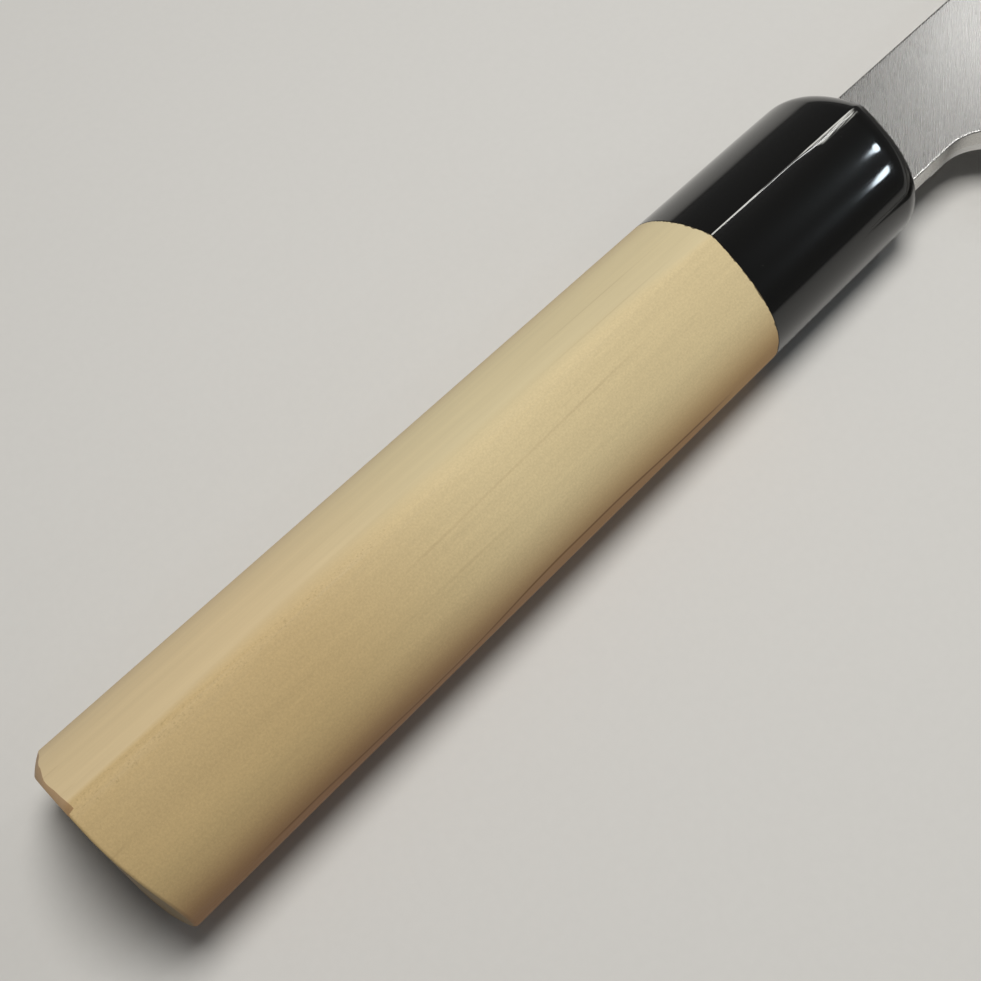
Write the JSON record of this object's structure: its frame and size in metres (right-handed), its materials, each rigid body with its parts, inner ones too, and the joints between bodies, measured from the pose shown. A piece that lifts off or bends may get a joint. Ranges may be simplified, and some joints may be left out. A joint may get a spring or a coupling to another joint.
{
  "type": "hamokiri knife",
  "caption": "Long single-bevel kitchen knife for scoring the bones of conger, with a D-shaped bare wooden handle and a glossy black ferrule.",
  "frame": {"origin": "middle of the butt's flat end, on the handle's long axis and on the blade's middle plane", "axes": "+X from the butt to the blade's tip, +Y towards the spine, +Z out of the ground side, away from the blade's flat back"},
  "size_m": [0.4149, 0.0621, 0.0223],
  "materials": {
    "pale_wood": "bare, sanded, fine straight grain",
    "black_resin": "polished black",
    "amber_resin": "hardened resin, hidden inside",
    "soft_iron": "fine satin grind",
    "hard_steel": "fine ground, brighter than the body"
  },
  "bodies": {
    "root": {"handle_wood": "pale_wood", "ferrule": "black_resin", "tang_bedding": "amber_resin", "blade_body": "soft_iron", "edge_steel": "hard_steel"}
  },
  "joints": []
}
